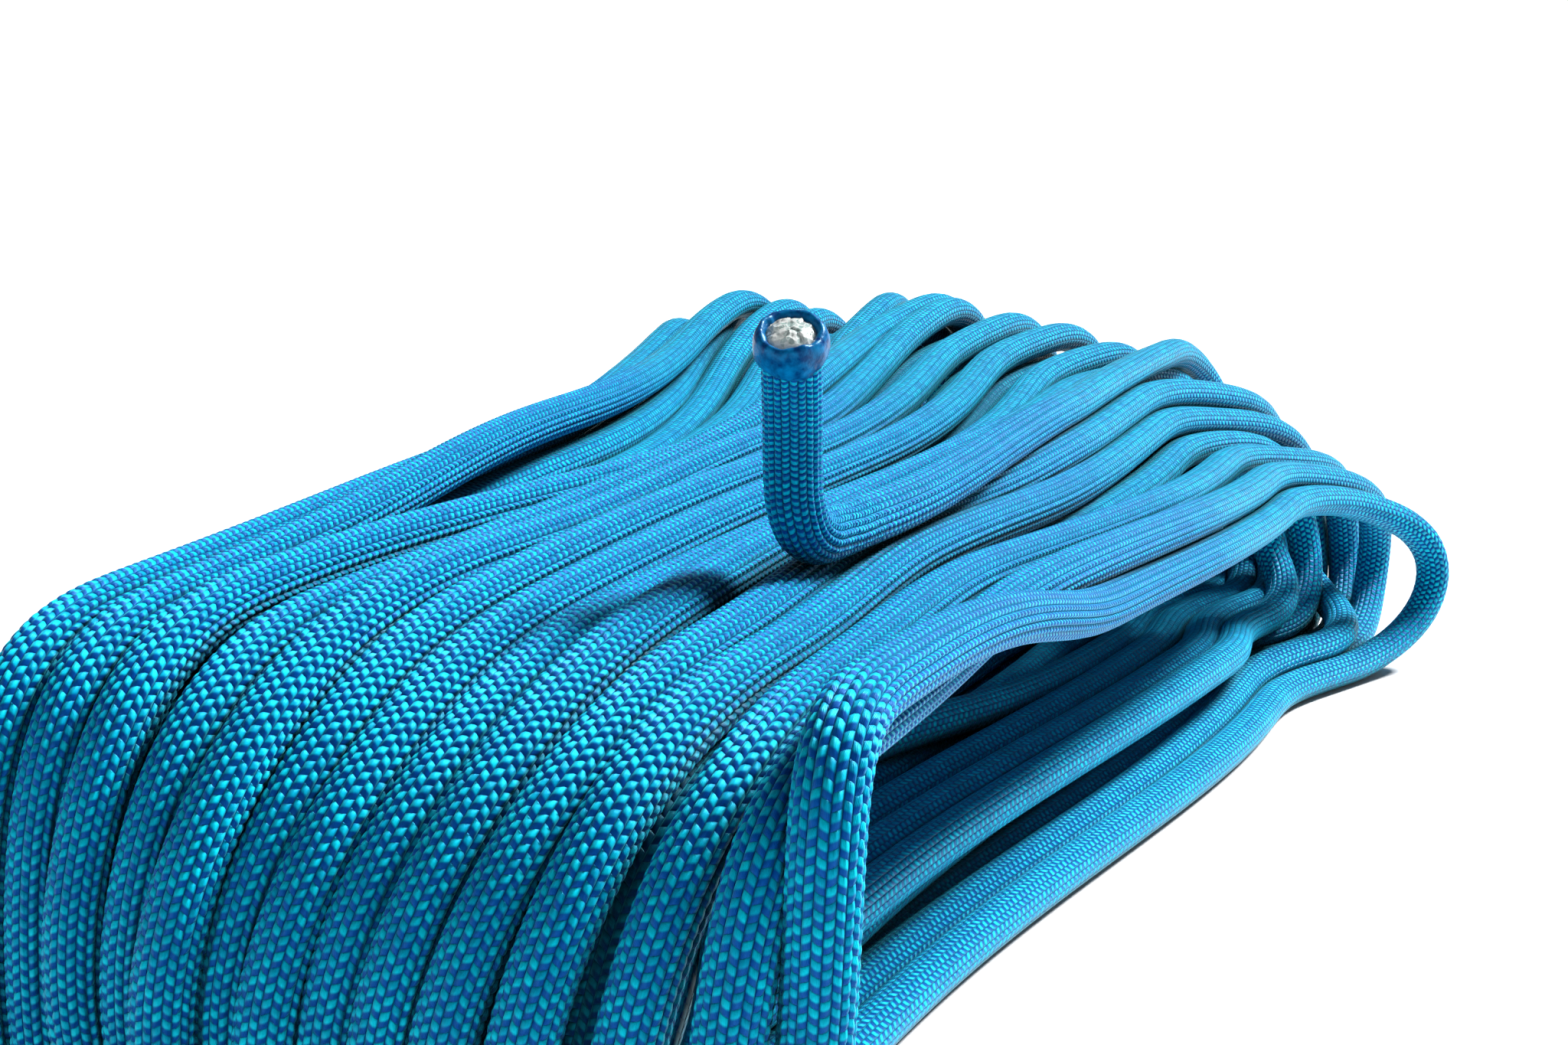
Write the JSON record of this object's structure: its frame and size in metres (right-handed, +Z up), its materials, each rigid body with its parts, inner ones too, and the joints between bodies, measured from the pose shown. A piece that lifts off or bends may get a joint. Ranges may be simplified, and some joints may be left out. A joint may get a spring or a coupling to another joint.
{
  "type": "cord hank",
  "caption": "Flat wound hank of braided nylon cord with a fanned far end, a free end standing up from its top, and melted ends.",
  "frame": {"origin": "centre of the footprint, on the surface that the hank lies on", "axes": "+X along the turns, from the neat near end towards the fanned far end; +Z up; +Y across the hank, towards the flank where the tail end lies"},
  "size_m": [0.206, 0.106, 0.0605],
  "materials": {
    "sheath": "braided nylon, soft sheen",
    "core_yarn": "twisted white nylon, satin",
    "melted_sheath": "melted nylon, glossy, slightly clear",
    "melted_core": "melted nylon, glossy, cloudy clear"
  },
  "bodies": {
    "root": {"hank_body": "sheath", "standing_end_sheath": "sheath", "standing_end_core_yarn_centre": "core_yarn", "standing_end_core_yarn_1": "core_yarn", "standing_end_core_yarn_2": "core_yarn", "standing_end_core_yarn_3": "core_yarn", "standing_end_core_yarn_4": "core_yarn", "standing_end_core_yarn_5": "core_yarn", "standing_end_core_yarn_6": "core_yarn", "standing_end_melted_rim": "melted_sheath", "standing_end_melted_core": "melted_core", "tail_end_sheath": "sheath", "tail_end_core_yarn_centre": "core_yarn", "tail_end_core_yarn_1": "core_yarn", "tail_end_core_yarn_2": "core_yarn", "tail_end_core_yarn_3": "core_yarn", "tail_end_core_yarn_4": "core_yarn", "tail_end_core_yarn_5": "core_yarn", "tail_end_core_yarn_6": "core_yarn", "tail_end_melted_rim": "melted_sheath", "tail_end_melted_core": "melted_core"}
  },
  "joints": []
}
